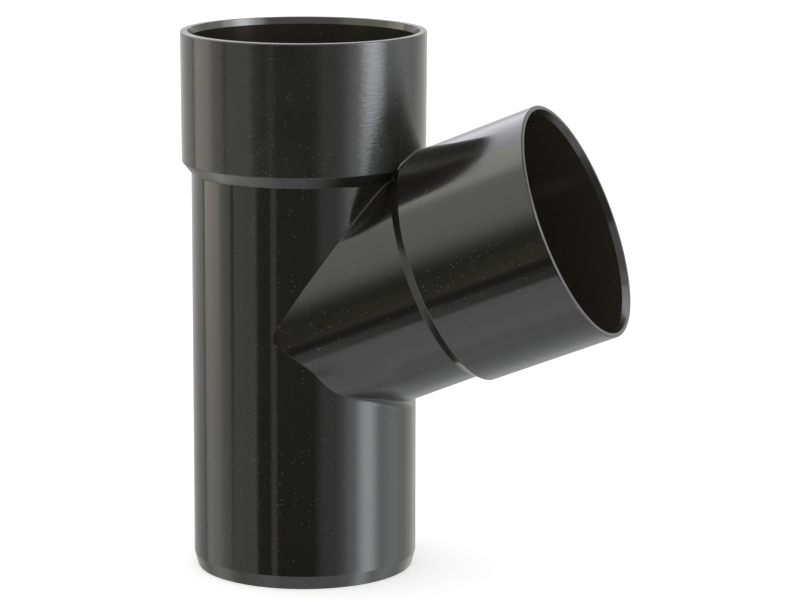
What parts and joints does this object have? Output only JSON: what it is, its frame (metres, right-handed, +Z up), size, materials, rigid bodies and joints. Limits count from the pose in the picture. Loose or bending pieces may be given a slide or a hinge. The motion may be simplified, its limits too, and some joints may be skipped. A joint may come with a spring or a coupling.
{
  "type": "pipe branch",
  "caption": "Slanted pipe branch for rainwater or waste pipe: a straight run with a spigot below and a socket above, and a socket on the branch.",
  "frame": {"origin": "middle of the piece in plan, on the plane of the spigot end that it stands on", "axes": "+Z up along the run from its spigot end to its socket, +X from the run towards the branch, +Y across the piece, along the normal of its plane of symmetry"},
  "size_m": [0.1604, 0.0872, 0.1933],
  "materials": {
    "black_plastic": "smooth moulded gloss, near black"
  },
  "bodies": {
    "root": {"pipe_branch": "black_plastic"}
  },
  "joints": []
}
